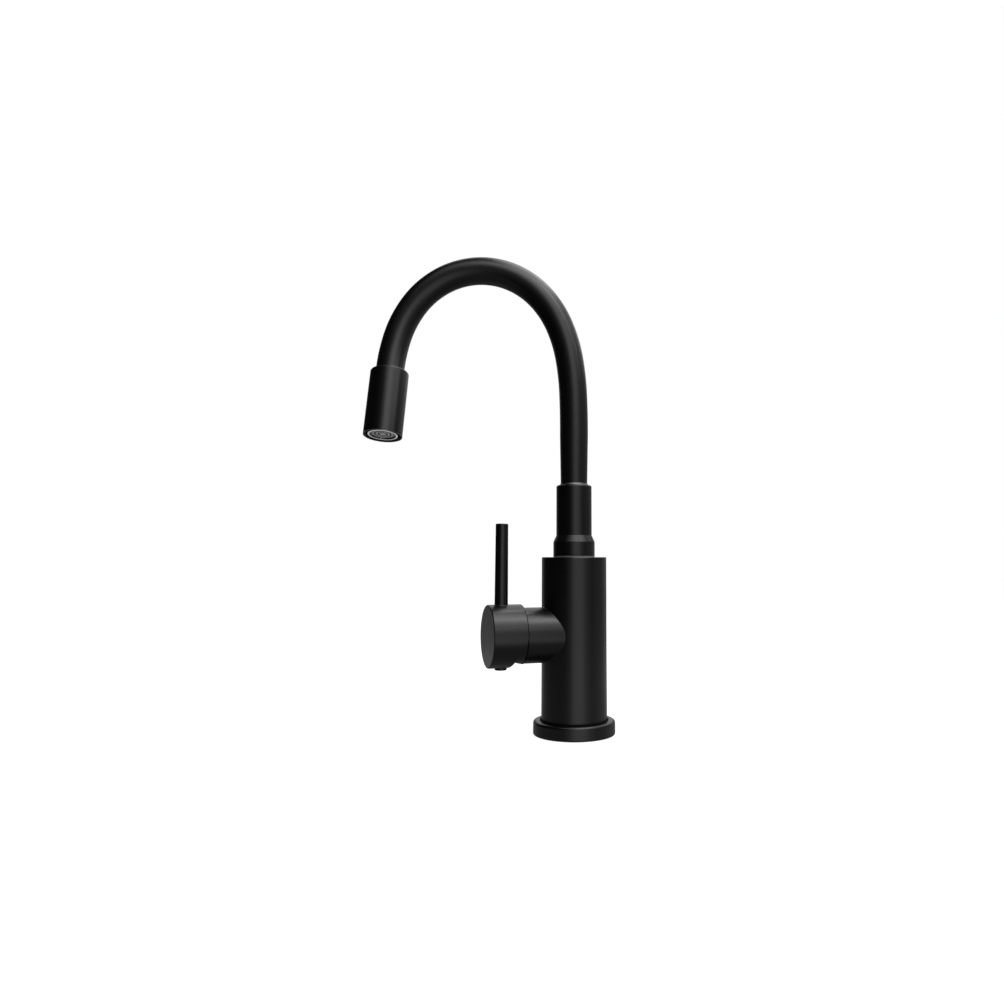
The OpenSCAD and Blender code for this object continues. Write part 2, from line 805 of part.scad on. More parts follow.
// Room for the stem at rest and tilted: above the pivot it tilts down, below it tilts up
module stem_slot() {
    half = stem_w / 2;
    below = pivot_out - rotor_at;
    low_up = stem_arm * sin(lift_max) + ball_d / 2 + 2 * stem_play;
    top_down = rotor_top * tan(lift_max) + half / cos(lift_max) + 2 * stem_play;
    room = barrel_d / 2 + 2 * stem_play;
    translate([-room, -half - stem_play, rotor_at - over])
        cube([room + max(low_up, room), stem_w + 2 * stem_play, below + over + over / 10]);
    translate([-max(top_down, room), -half - stem_play, pivot_out])
        cube([max(top_down, room) + room, stem_w + 2 * stem_play, rotor_top + over]);
}

module rotor() {
    color(plastic) at_side()
        difference() {
            union() {
                rod_z(rotor_d / 2, rotor_at, pivot_out + rotor_top);
                rod_z(rotor_d / 2 + rotor_rim, rotor_at, rim_end);
            }
            stem_slot();
            translate([0, 0, pivot_out])
                rotate([90, 0, 0])
                    cylinder(d = pin_d, h = rotor_d * 2, center = true);
        }
}

module pivot_pin() {
    color(steel) at_side()
        translate([0, 0, pivot_out])
            rotate([90, 0, 0])
                cylinder(d = pin_d, h = pin_l, center = true);
}

module slide_disc() {
    color(ceramic) at_side()
        difference() {
            rod_z(slide_disc_d / 2, slide_disc_at, carrier_at);
            rod_z(recess_d / 2, slide_disc_at - over, slide_disc_at + recess_h);
        }
}

module disc_carrier() {
    color(plastic) at_side()
        difference() {
            rod_z(slide_disc_d / 2, carrier_at, carrier_at + carrier_h);
            rod_z(ball_d / 2 + stem_play, carrier_at - over, rotor_at);
        }
}

module cartridge_stem() {
    color(steel) at_side()
        difference() {
            union() {
                translate([0, 0, ball_at])
                    sphere(d = ball_d);
                rod_z(arm_d / 2, ball_at, pivot_out);
                translate([0, 0, pivot_out])
                    rotate([90, 0, 0])
                        cylinder(d = barrel_d, h = stem_w, center = true);
                translate([-stem_w / 2, -stem_w / 2, pivot_out])
                    cube([stem_w, stem_w, stem_l]);
            }
            translate([0, 0, pivot_out])
                rotate([90, 0, 0])
                    cylinder(r = pin_d / 2 + pin_play, h = stem_w * 2, center = true);
        }
}

// ---- lever -------------------------------------------------------------------------------

hub_end = cap_face - hub_l;
stem_end = pivot_out + stem_l;
rod_seat = cap_d / 2 - rod_sink;
module lever_cap() {
    color(black) at_side()
        difference() {
            union() {
                difference() {
                    rounded_disc(cap_d / 2, cap_rear, cap_face, cap_round, cap_round);
                    rod_z(cap_in, cap_rear - over, cap_face - face_h);
                }
                rod_z(hub_d / 2, hub_end, cap_face - over);
                intersection() {
                    at_rod() {
                        rod_z(rod_foot_d / 2 + rod_boss, 0, cap_d);
                        rod_z(screw_boss_d / 2, -screw_boss, 0);
                    }
                    rod_z(cap_d / 2 - cap_round, hub_end, cap_face - over);
                }
            }
            // square socket for the stem
            translate([-stem_w / 2 - stem_play, -stem_w / 2 - stem_play, hub_end - over])
                cube([stem_w + 2 * stem_play, stem_w + 2 * stem_play,
                      stem_end + 2 * stem_play - hub_end + over]);
            at_rod() {
                rod_z(rod_foot_d / 2 + rod_play, rod_seat, cap_d);
                rod_z(stub_d / 2, 0, cap_d);
                rod_z(screw_d / 2, -screw_boss - over, 0);
                rod_z(plug_stem_d / 2 + rod_play, -cap_d, -cap_in + over);
                rod_z(plug_d / 2 + rod_play, -cap_d, -cap_d / 2 + plug_sink);
            }
            // the slanted cut that lets the cap tilt over the housing
            translate([0, 0, cap_rear])
                rotate([0, lift_max, 0])
                    translate([-2 * cap_d, -cap_d, -cap_d])
                        cube([4 * cap_d, 2 * cap_d, cap_d]);
        }
}

module lever_rod() {
    color(black) at_side() at_rod() {
        rod_z(stub_d / 2, stem_w / 2 + stem_play, rod_seat);
        translate([0, 0, rod_seat])
            cylinder(d1 = rod_foot_d, d2 = rod_top_d, h = rod_top - rod_seat - rod_chamfer);
        translate([0, 0, rod_top - rod_chamfer])
            cylinder(d1 = rod_top_d, d2 = rod_top_d - 2 * rod_chamfer, h = rod_chamfer);
    }
}

module clamp_screw() {
    screw_end = -stem_w / 2 - screw_l;
    color(steel) at_side() at_rod()
        difference() {
            rod_z(screw_d / 2, screw_end, -stem_w / 2);
            translate([0, 0, screw_end - over])
                cylinder(d = screw_key * 2 / sqrt(3), h = screw_key_h + over, $fn = 6);
        }
}

module index_plug() {
    color(black) at_side() at_rod() {
        rod_z(plug_stem_d / 2, -cap_d / 2, -cap_in + plug_tip_h);
        rotate([180, 0, 0])
            rounded_disc(plug_d / 2, cap_d / 2 - plug_sink, cap_d / 2 + plug_h, 0, plug_h / 2);
    }
}

// ---- swivel and collar -------------------------------------------------------------------

spout_foot = body_top + glide_h;
spigot_end = bush_floor + spigot_gap;
neck_foot = collar_top - neck_sink;
barb_r = hose_bore / 2 - seam_step - barb_play;
hose_foot = neck_foot + hose_rise;
module swivel_spigot() {
    groove = ring_section / 2 + groove_play;
    color(brass)
        difference() {
            union() {
                rod_z(spigot_d / 2, spigot_end, spout_foot);
                rod_z(spigot_d / 2 + spigot_shoulder, spout_foot, neck_foot);
                rod_z(barb_r, neck_foot, hose_foot + ferrule_l);
            }
            rod_z(spigot_bore / 2, spigot_end - over, hose_foot + ferrule_l + over);
            for (at = [body_top - ring_drop, body_top - ring_drop - ring_pitch])
                ring(spigot_d, spigot_d / 2 - ring_section, at - groove, at + groove);
            ring(spigot_d, spigot_d / 2 - clip_groove, clip_at - groove_play,
                 clip_at + clip_h + groove_play);
        }
}

module swivel_seals() {
    color(rubber)
        for (at = [body_top - ring_drop, body_top - ring_drop - ring_pitch])
            seal_ring(spigot_d / 2 - ring_section / 2, ring_section, at);
}

module split_ring() {
    color(steel)
        difference() {
            ring(clip_d / 2, spigot_d / 2 - clip_groove, clip_at, clip_at + clip_h);
            translate([0, -clip_gap / 2, clip_at - over])
                cube([clip_d, clip_gap, clip_h + 2 * over]);
        }
}

lip_r = neck_foot_r + lip_play + lip_wall;
module spout_collar() {
    color(black)
        difference() {
            union() {
                rod_z(collar_foot_d / 2, spout_foot, spout_foot + collar_foot_h);
                translate([0, 0, spout_foot + collar_foot_h])
                    cylinder(d1 = collar_foot_d, d2 = collar_d, h = collar_cone_h);
                rounded_disc(collar_d / 2, spout_foot, collar_top, 0, collar_round);
            }
            rod_z(spigot_d / 2 + spigot_shoulder, spout_foot - over, neck_foot);
            rod_z(lip_r, neck_foot - over / 10, collar_top + over);
        }
}

// A thin ring that finishes the edge of a sleeve round the neck, with a tapered lip outside
module lip(r_neck, r_out) {
    difference() {
        union() {
            rod_z(r_out, -lip_sink, 0);
            cylinder(r1 = r_out, r2 = r_neck + lip_play + lip_edge, h = lip_h);
        }
        rod_z(r_neck + lip_play, -lip_sink - over, lip_h + over);
    }
}

module collar_lip() {
    widening = neck_widen * lip_h / neck_taper_h;
    color(steel)
        translate([0, 0, collar_top])
            lip(neck_foot_r + widening, lip_r);
}

// ---- neck --------------------------------------------------------------------------------

module neck_skin() {
    color(black)
        difference() {
            union() {
                rod_z(neck_foot_r, neck_foot, collar_top);
                translate([0, 0, collar_top])
                    cylinder(r1 = neck_foot_r, r2 = neck_r, h = neck_taper_h);
                outer_bar(neck_r, -neck_taper_h, head_sink);
            }
            inner_bar(skin_in, neck_sink + over, head_sink + over);
        }
}

// The bendable metal tube that keeps the neck's shape
core_foot = hose_foot + ferrule_l;
module neck_core() {
    color(steel)
        difference() {
            inner_bar(core_out, collar_top - core_foot, 0);
            inner_bar(core_in, collar_top - core_foot + over, over);
        }
}

module water_hose() {
    color(rubber)
        difference() {
            inner_bar(hose_d / 2, collar_top - hose_foot, head_sink);
            inner_bar(hose_bore / 2, collar_top - hose_foot + over, head_sink + over);
        }
}

// The crimped sleeves that hold the hose on its two barbs
ferrule_r = core_out;
module collar_ferrule() {
    color(steel)
        ring(ferrule_r, hose_d / 2, hose_foot, hose_foot + ferrule_l);
}

module head_ferrule() {
    color(steel) at_head()
        ring(ferrule_r, hose_d / 2, 0, head_sink);
}

// ---- head --------------------------------------------------------------------------------

nipple_end = head_sink + nipple_l;
aerator_end = head_l - aerator_back;
module head_sleeve() {
    color(black) at_head()
        difference() {
            rounded_disc(head_d / 2, 0, head_l, head_round, 0);
            rod_z(head_lip_r, -over, head_sink);
            rod_z(head_bore / 2, head_sink, head_l + over);
            // bevel round the outlet
            translate([0, 0, head_l - mouth_bevel])
                cylinder(r1 = head_bore / 2, r2 = head_bore / 2 + mouth_bevel,
                         h = mouth_bevel + over / 100);
        }
}

module head_lip() {
    color(steel) at_head()
        rotate([180, 0, 0])
            lip(neck_r, head_lip_r);
}

nipple_seal_at = nipple_end - nipple_drop;
module head_nipple() {
    groove = nipple_ring / 2 + groove_play;
    color(brass) at_head()
        difference() {
            union() {
                rod_z(head_bore / 2, head_sink, nipple_end);
                rod_z(barb_r, 0, head_sink);
                rod_z(aerator_d / 2 + nipple_wall, nipple_end - over, aerator_end - nipple_back);
            }
            rod_z(spigot_bore / 2, -over, nipple_end);
            rod_z(aerator_d / 2, aerator_end - aerator_h, head_l);
            rod_z(aerator_d / 2 - nipple_ledge, nipple_end - nipple_floor, head_l);
            ring(head_bore, head_bore / 2 - nipple_ring, nipple_seal_at - groove,
                 nipple_seal_at + groove);
        }
}

module nipple_seal() {
    color(rubber) at_head()
        seal_ring((head_bore - nipple_ring) / 2, nipple_ring, nipple_seal_at);
}

// ---- aerator -----------------------------------------------------------------------------

aerator_in = aerator_d / 2 - aerator_wall;
insert_end = aerator_end - insert_back;
insert_at = insert_end - insert_h;
module aerator_ring() {
    color(steel) at_head()
        difference() {
            rounded_disc(aerator_d / 2, aerator_end - aerator_h, aerator_end, 0, aerator_round);
            rod_z(aerator_in, aerator_end - aerator_h - over, aerator_end + over);
        }
}

// The plastic insert: a ring of cut slots outside, then two round gaps and a middle stud
module aerator_insert() {
    slot_r = aerator_in - slot_edge;
    color(plastic) at_head()
        difference() {
            rod_z(aerator_in, insert_at, insert_end);
            for (slot = [1 : slot_count])
                rotate([0, 0, slot * 360 / slot_count])
                    translate([slot_r - insert_gap, -insert_gap / 2, insert_at - over])
                        cube([2 * insert_gap, insert_gap, insert_h + 2 * over]);
            for (r = [slot_r - gap_edge, slot_r - gap_edge - gap_pitch])
                ring(r, r - insert_gap, insert_at + insert_floor, insert_end + over);
        }
}

module aerator_screen() {
    color(steel) at_head()
        rod_z(aerator_in, insert_at - screen_h, insert_at);
}

module aerator_seal() {
    color(rubber) at_head()
        ring(aerator_in, aerator_in - aerator_seal_w, insert_at - screen_h - aerator_seal_h,
             insert_at - screen_h);
}

base_flange();
base_seal();
body_shell();
side_housing();
waterway_block();
spout_seat();
seat_seal();
glide_ring();
cartridge_base();
port_seals();
fixed_disc();
cartridge_shell();
cartridge_nut();
bonnet();
rotor();
pivot_pin();
slide_disc();
disc_carrier();
cartridge_stem();
lever_cap();
lever_rod();
clamp_screw();
index_plug();
swivel_spigot();
swivel_seals();
split_ring();
spout_collar();
collar_lip();
neck_skin();
neck_core();
water_hose();
collar_ferrule();
head_ferrule();
head_sleeve();
head_lip();
head_nipple();
nipple_seal();
aerator_ring();
aerator_insert();
aerator_screen();
aerator_seal();
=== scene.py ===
import json
import math
import bpy
import bmesh
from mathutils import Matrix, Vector


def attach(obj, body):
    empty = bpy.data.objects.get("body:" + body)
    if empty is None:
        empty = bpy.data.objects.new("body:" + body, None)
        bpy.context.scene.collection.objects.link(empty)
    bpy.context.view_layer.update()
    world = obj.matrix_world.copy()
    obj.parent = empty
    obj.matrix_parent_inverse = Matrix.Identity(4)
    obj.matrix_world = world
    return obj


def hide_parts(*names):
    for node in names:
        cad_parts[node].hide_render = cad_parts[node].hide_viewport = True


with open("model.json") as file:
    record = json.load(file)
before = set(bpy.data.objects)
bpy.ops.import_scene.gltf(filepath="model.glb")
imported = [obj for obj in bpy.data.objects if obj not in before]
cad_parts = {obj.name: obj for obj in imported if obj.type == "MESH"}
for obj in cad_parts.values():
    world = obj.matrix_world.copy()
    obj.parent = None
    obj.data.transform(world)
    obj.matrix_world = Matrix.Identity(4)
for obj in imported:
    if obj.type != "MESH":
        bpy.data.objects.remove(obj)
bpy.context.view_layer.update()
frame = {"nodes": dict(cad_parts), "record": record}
scene = bpy.context.scene
scene.view_settings.view_transform = "Standard"

MM = 0.001                 # one millimetre: the tap's own shapes below are in millimetres
UP = Vector((0, 0, 1))


def direction(heading, rise):
    """Unit vector from two angles in degrees. Heading 0 is +X and 90 is +Y."""
    heading, rise = math.radians(heading), math.radians(rise)
    flat = math.cos(rise)
    return Vector((math.cos(heading) * flat, math.sin(heading) * flat, math.sin(rise)))


# ---- camera ------------------------------------------------------------------------------

IMAGE = 1004               # the photograph's width and height in pixels
FOCAL = 796.65             # focal length in pixels
CENTRE = (569.58, 464.93)  # the pixel that the camera looks straight at
FILM = 36                  # width of the film in millimetres
CAMERA_PLACE = (0.0280, -0.6232, 0.1308)
CAMERA_WAY = direction(92.89, 6.78)
NEAREST = 0.01             # nothing closer to the camera than this is drawn


def make_camera():
    data = bpy.data.cameras.new("camera")
    data.sensor_width = FILM
    data.lens = FOCAL / IMAGE * FILM
    data.shift_x = (IMAGE / 2 - CENTRE[0]) / IMAGE
    data.shift_y = (CENTRE[1] - IMAGE / 2) / IMAGE
    data.clip_start = NEAREST
    camera = bpy.data.objects.new("camera", data)
    camera.location = CAMERA_PLACE
    camera.rotation_mode = "QUATERNION"
    camera.rotation_quaternion = CAMERA_WAY.to_track_quat("-Z", "Y")
    scene.collection.objects.link(camera)
    scene.camera = camera


make_camera()


# ---- shader maths ------------------------------------------------------------------------

class Sum:
    """A shader socket that can be used in Python sums. Each sum adds a Math node."""

    def __init__(self, tree, socket):
        self.tree, self.socket = tree, socket

    def _math(self, operation, *values):
        node = self.tree.nodes.new("ShaderNodeMath")
        node.operation = operation
        for slot, value in zip(node.inputs, values):
            feed(self.tree, slot, value)
        return Sum(self.tree, node.outputs[0])

    def __add__(self, other): return self._math("ADD", self, other)
    def __radd__(self, other): return self._math("ADD", other, self)
    def __sub__(self, other): return self._math("SUBTRACT", self, other)
    def __rsub__(self, other): return self._math("SUBTRACT", other, self)
    def __mul__(self, other): return self._math("MULTIPLY", self, other)
    def __rmul__(self, other): return self._math("MULTIPLY", other, self)
    def __pow__(self, other): return self._math("POWER", self, other)
    def sin(self): return self._math("SINE", self)


def feed(tree, slot, value):
    """Links a socket to an input, or writes a plain value on it."""
    if isinstance(value, Sum):
        tree.links.new(value.socket, slot)
    elif isinstance(value, bpy.types.NodeSocket):
        tree.links.new(value, slot)
    else:
        slot.default_value = value


class Look:
    """One node material: a Principled shader that is fed from the object's own coordinates."""

    def __init__(self, name, **constants):
        self.material = bpy.data.materials.new(name)
        self.material.use_nodes = True
        self.tree = self.material.node_tree
        self.shader = self.tree.nodes["Principled BSDF"]
        self.use(**constants)
        self.place = self.node("ShaderNodeTexCoord").outputs["Object"]

    def node(self, kind, settings=(), inputs=()):
        made = self.tree.nodes.new(kind)
        for key, value in dict(settings).items():
            setattr(made, key, value)
        for key, value in dict(inputs).items():
            feed(self.tree, made.inputs[key], value)
        return made

    def axes(self):
        parts = self.node("ShaderNodeSeparateXYZ", inputs={0: self.place}).outputs
        return [Sum(self.tree, part) for part in parts]

    def noise(self, per_metre, detail, rough=0.5, at=None):
        made = self.node("ShaderNodeTexNoise", inputs={
            "Vector": at or self.place, "Scale": per_metre, "Detail": detail, "Roughness": rough})
        return Sum(self.tree, made.outputs["Fac"])

    def cells(self, per_metre):
        made = self.node("ShaderNodeTexVoronoi", inputs={"Vector": self.place, "Scale": per_metre})
        return Sum(self.tree, made.outputs["Distance"])

    def stretched(self, x, y, z):
        made = self.node("ShaderNodeVectorMath", {"operation": "MULTIPLY"}, {0: self.place, 1: (x, y, z)})
        return made.outputs[0]

    def spread(self, value, low, high):
        """Goes smoothly from 0 where the value is low to 1 where it is high."""
        made = self.node("ShaderNodeMapRange", {"interpolation_type": "SMOOTHSTEP"}, {
            "Value": value, "From Min": low, "From Max": high})
        return Sum(self.tree, made.outputs[0])

    def mix(self, share, first, second):
        made = self.node("ShaderNodeMix", {"data_type": "RGBA"}, {0: share, 6: first, 7: second})
        return made.outputs[2]

    def bump(self, height, depth, strength):
        """Raises the surface by a pattern; depth is in millimetres."""
        made = self.node("ShaderNodeBump", inputs={
            "Height": height, "Distance": depth * MM, "Strength": strength})
        return made.outputs[0]

    def use(self, **values):
        for socket, value in values.items():
            feed(self.tree, self.shader.inputs[socket.replace("_", " ")], value)
        return self.material


def grey(value, warm=0.0):
    return (value * (1 + warm), value, value * (1 - warm), 1)


# ---- finishes ----------------------------------------------------------------------------

TURNING_MARKS = 4200.0     # how closely the turning tool's rings lie, in radians per metre


def satin_black():
    """Powder coat: a fine pebbled skin with faint clouds in its sheen."""
    look = Look("satin_black_coat", Specular_IOR_Level=0.5)
    pebbles = look.noise(2600, detail=3, rough=0.55)
    clouds = look.noise(45, detail=3)
    specks = look.spread(look.noise(900, detail=2), low=0.62, high=0.75)
    return look.use(
        Base_Color=look.mix(clouds * 0.5 + specks * 0.3, grey(0.0016), grey(0.0036, warm=0.02)),
        Roughness=0.27 + clouds * 0.05 + specks * 0.06,
        Normal=look.bump(pebbles, depth=0.03, strength=0.2))


def skin_black():
    """Silicone skin of the neck: smooth, with a soft sheen and faint clouds."""
    look = Look("black_skin", Specular_IOR_Level=0.5)
    clouds = look.noise(38, detail=3, rough=0.55)
    grain = look.noise(3400, detail=2)
    return look.use(
        Base_Color=look.mix(clouds, grey(0.0014), grey(0.0030)),
        Roughness=0.31 + clouds * 0.06,
        Normal=look.bump(grain, depth=0.02, strength=0.2))


def dark_rubber(name, sheen, clean, dusty):
    """Black rubber with dust in its pores."""
    look = Look(name, Specular_IOR_Level=sheen)
    dust = look.spread(look.noise(300, detail=4, rough=0.6), low=0.5, high=0.75)
    grain = look.noise(3000, detail=3, rough=0.6)
    return look.use(
        Base_Color=look.mix(dust, grey(clean), grey(dusty, warm=0.03)),
        Roughness=0.62 + dust * 0.2,
        Normal=look.bump(grain, depth=0.05, strength=0.5))


def turned_metal(name, colour, darker, roughness):
    """Turned metal: fine rings round an upright axis, and a faint tarnish."""
    look = Look(name, Metallic=1.0)
    x, y, z = look.axes()
    rings = (((x ** 2.0 + y ** 2.0) ** 0.5 + z) * TURNING_MARKS).sin()
    tarnish = look.spread(look.noise(140, detail=4, rough=0.6), low=0.45, high=0.8)
    return look.use(
        Base_Color=look.mix(tarnish, colour, darker),
        Roughness=roughness + tarnish * 0.14 + rings * 0.02,
        Normal=look.bump(rings, depth=0.006, strength=0.4))


def plated(name, bright, dull, roughness):
    """Plated trim with faint water marks."""
    look = Look(name, Metallic=1.0)
    marks = look.spread(look.noise(420, detail=4, rough=0.6), low=0.5, high=0.8)
    hair = look.noise(1800, detail=2, at=look.stretched(1, 1, 6))
    return look.use(
        Base_Color=look.mix(marks, grey(bright), grey(dull, warm=0.01)),
        Roughness=roughness + marks * 0.14 + hair * 0.05,
        Normal=look.bump(hair, depth=0.004, strength=0.3))


def moulded(name, light, dark, roughness, per_metre=2600, clouds_per_metre=160, detail=3):
    """Moulded plastic with a fine spark-eroded grain."""
    look = Look(name, Specular_IOR_Level=0.5)
    grain = look.cells(per_metre)
    clouds = look.noise(clouds_per_metre, detail=detail)
    return look.use(
        Base_Color=look.mix(clouds, light, dark),
        Roughness=roughness + clouds * 0.1,
        Normal=look.bump(grain, depth=0.03, strength=0.3))


def ceramic():
    """Sintered white disc with small grey specks."""
    look = Look("disc_ceramic", Specular_IOR_Level=0.5)
    specks = look.spread(look.noise(2200, detail=3, rough=0.6), low=0.6, high=0.75)
    return look.use(
        Base_Color=look.mix(specks, grey(0.80, warm=0.02), grey(0.62, warm=0.03)),
        Roughness=0.28 + specks * 0.12,
        Normal=look.bump(specks, depth=0.01, strength=0.2))


COAT, SKIN = satin_black(), skin_black()
# near-black rubber look for the two rings that stand in for painted shade in the groove at the body's foot
# and in the seam at the housing's rim
SHADE_RING_LOOK = dark_rubber("painted_shade_ring", sheen=0.06, clean=0.0012, dusty=0.0024)
BRASS = turned_metal("turned_brass", (0.60, 0.42, 0.17, 1), (0.42, 0.27, 0.11, 1), roughness=0.28)
LIP_PLATE = plated("satin_plate", bright=0.12, dull=0.09, roughness=0.34)
SLOT_LOOKS = {
    "black_coat": COAT,
    "black_skin": SKIN,
    "black_trim": moulded("black_trim", grey(0.0045), grey(0.0075), roughness=0.34,
                          per_metre=2400, clouds_per_metre=120, detail=2),
    "dark_rubber": dark_rubber("dark_rubber", sheen=0.4, clean=0.010, dusty=0.030),
    "brass": BRASS,
    "steel": turned_metal("turned_steel", grey(0.52), grey(0.36, warm=0.02), roughness=0.30),
    "bright_chrome": plated("bright_plate", bright=0.80, dull=0.66, roughness=0.14),
    "grey_plastic": moulded("grey_plastic", grey(0.20), grey(0.15), roughness=0.40),
    "white_plastic": moulded("white_plastic", grey(0.66, warm=0.02), grey(0.56, warm=0.03), roughness=0.40),
    "disc_ceramic": ceramic(),
}
NODE_LOOKS = {
    "collar_lip": LIP_PLATE,
    "head_lip": LIP_PLATE,
    "aerator_ring": plated("aerator_plate", bright=0.62, dull=0.50, roughness=0.20),
    "aerator_insert": plated("metallised_plastic", bright=0.19, dull=0.14, roughness=0.26),
}


def dress_nodes():
    for row in frame["record"]["subparts"]:
        node = frame["nodes"][row["node"]]
        for slot in node.material_slots:
            slot.link = "OBJECT"
            slot.material = NODE_LOOKS.get(row["node"], SLOT_LOOKS[row["material_slot"]])


dress_nodes()


# ---- mesh helpers ------------------------------------------------------------------------

def make_object(name, mesh_maker):
    mesh = bpy.data.meshes.new(name)
    bm = bmesh.new()
    mesh_maker(bm)
    bmesh.ops.recalc_face_normals(bm, faces=bm.faces)
    bm.to_mesh(mesh)
    bm.free()
    made = bpy.data.objects.new(name, mesh)
    scene.collection.objects.link(made)
    return made


def circle(middle, side, across, radius, count):
    """Points round the circle that side and across span."""
    turns = [math.tau * i / count for i in range(count)]
    return [middle + radius * (math.cos(a) * side + math.sin(a) * across) for a in turns]


def new_ring(bm, points):
    return [bm.verts.new(point * MM) for point in points]


def join_rings(bm, rings, closed):
    """Skins rings of equal length with four-sided faces, and caps the ends of an open row."""
    pairs = list(zip(rings, rings[1:]))
    if closed:
        pairs.append((rings[-1], rings[0]))
    for low, high in pairs:
        for i in range(len(low)):
            j = (i + 1) % len(low)
            bm.faces.new((low[i], low[j], high[j], high[i]))
    if not closed:
        bm.faces.new(rings[0])
        bm.faces.new(rings[-1])


def finish_piece(made, look, body, sharp_from):
    """Gives a new piece its look, body and slot. Edges sharper than sharp_from degrees stay sharp."""
    for face in made.data.polygons:
        face.use_smooth = True
    made.data.set_sharp_from_angle(angle=math.radians(sharp_from))
    made.data.materials.append(look)
    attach(made, body)


# ---- the neck's skin ---------------------------------------------------------------------

COLLAR_TOP = 188.7         # height of the collar's top
NECK_STRAIGHT = 44         # straight stretch above it
NECK_STEP = 29.5           # length of each curved stretch
NECK_TURNS = [2.5, 7.5, 14, 20, 24.5, 27, 27, 24.5, 19.5, 12]    # degrees that each of them turns
SIDE_LEAN, LEAN_POWER = 11.2, 5    # degrees towards the camera at the end, and how late they come
NECK_R, NECK_FOOT_R = 11.1, 10.4   # the neck is thinner at the collar
TAPER = 40                 # height over which it widens
NECK_SINK, HEAD_SINK = 36, 8       # how far it reaches into the collar and the head
SKIN_WALL = 2.4
SINK_RINGS, STRAIGHT_RINGS, CURVE_RINGS, HEAD_RINGS = 12, 22, 12, 3
NECK_SIDES = 72


def tangent(stretch):
    """Way of the neck where a curved stretch begins."""
    turn = math.radians(sum(NECK_TURNS[:stretch]))
    length = NECK_STRAIGHT + len(NECK_TURNS) * NECK_STEP
    share = (NECK_STRAIGHT + stretch * NECK_STEP) / length
    lean = math.radians(SIDE_LEAN) * share ** LEAN_POWER if stretch else 0.0
    return Vector((-math.sin(turn) * math.cos(lean), -math.sin(lean), math.cos(turn) * math.cos(lean)))


def neck_route():
    """Points, ways and radii along the neck, from inside the collar to inside the head."""
    rows = []
    for i in range(SINK_RINGS + 1):
        rows.append((UP * (COLLAR_TOP - NECK_SINK + NECK_SINK * i / SINK_RINGS), UP, NECK_FOOT_R))
    for i in range(1, STRAIGHT_RINGS + 1):
        rise = NECK_STRAIGHT * i / STRAIGHT_RINGS
        radius = NECK_FOOT_R + (NECK_R - NECK_FOOT_R) * min(rise / TAPER, 1)
        rows.append((UP * (COLLAR_TOP + rise), UP, radius))
    point = UP * (COLLAR_TOP + NECK_STRAIGHT)
    for stretch in range(len(NECK_TURNS)):
        first, last = tangent(stretch), tangent(stretch + 1)
        angle = first.angle(last)
        bend_r = NECK_STEP / angle
        inward = (last - math.cos(angle) * first) / math.sin(angle)
        for i in range(1, CURVE_RINGS + 1):
            a = angle * i / CURVE_RINGS
            place = point + bend_r * (math.sin(a) * first + (1 - math.cos(a)) * inward)
            rows.append((place, math.cos(a) * first + math.sin(a) * inward, NECK_R))
        point = rows[-1][0]
    way = tangent(len(NECK_TURNS))
    for i in range(1, HEAD_RINGS + 1):
        rows.append((point + way * HEAD_SINK * i / HEAD_RINGS, way, NECK_R))
    return rows


def neck_mesh(bm):
    """Outer wall up the route and inner wall back down it, joined at both ends."""
    outer, inner = [], []
    for place, way, radius in neck_route():
        side = way.cross(Vector((0, 1, 0))).normalized()
        front = way.cross(side)
        outer.append(new_ring(bm, circle(place, side, front, radius, NECK_SIDES)))
        inner.append(new_ring(bm, circle(place, side, front, NECK_FOOT_R - SKIN_WALL, NECK_SIDES)))
    join_rings(bm, outer + inner[::-1], closed=True)


neck = make_object("neck_skin_smooth", neck_mesh)
finish_piece(neck, SKIN, "spout", sharp_from=40)
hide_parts("neck_skin")


# ---- beads, rings and threads ------------------------------------------------------------

SIDE_Z = 74.1              # height of the side housing's axis
SIDE_TURN = 201.8          # its heading
SIDE_FOOT, SIDE_WAY = UP * SIDE_Z, direction(SIDE_TURN, 0)
BODY_R, HOUSING_R, CAP_R = 25, 20.7, 23.25
FLANGE_TOP = 10.4
HOUSING_END = 42           # the housing's rim, measured from the body's axis
ROD_AT, ROD_FOOT_R = 57.8, 5.05        # the lever rod's place on that axis, and its foot
HOUSING_BEAD_R, ROD_BEAD_R = 0.6, 0.7
BURIED = 0.4               # how far the back of a bead lies under the surfaces beside it
ARC_STEPS = 8              # facets across a bead
HOUSING_SIDES, ROD_SIDES = 160, 72     # facets round a bead
# painted shade: dark rings put in the groove at the body's foot and in the seam at the housing's rim, where
# there is only shadow
FOOT_SHADE_RING_R, FOOT_SHADE_RING_OUT, FOOT_SHADE_RING_UP = 0.62, 0.5, 0.22     # its section, and its place
JOINT_SHADE_RING_R, JOINT_SHADE_RING_IN = 0.45, 0.1
RING_SIDES, RING_FACETS = 160, 14      # facets round a ring and round its section
HOLE_OUT, HOLE_SIDE = 2, 10        # the supply holes' places: along the housing's axis, and across it
STUD_THREAD = (3.4, 22, 1.25)      # the bore's radius, the thread's end above the deck, and its pitch
SUPPLY_THREAD = (4.5, 13, 1.0)
THREAD_LOW = 1.0           # where the threads start above the deck
THREAD_STEPS = 36          # facets in one turn
RIDGE_DEPTH = 0.3          # a ridge's depth, its half width at the foot and at the crest, in pitches
RIDGE_FOOT, RIDGE_CREST = 0.45, 0.06
RIDGE_SUNK = 0.1           # how far a ridge's foot lies in the wall


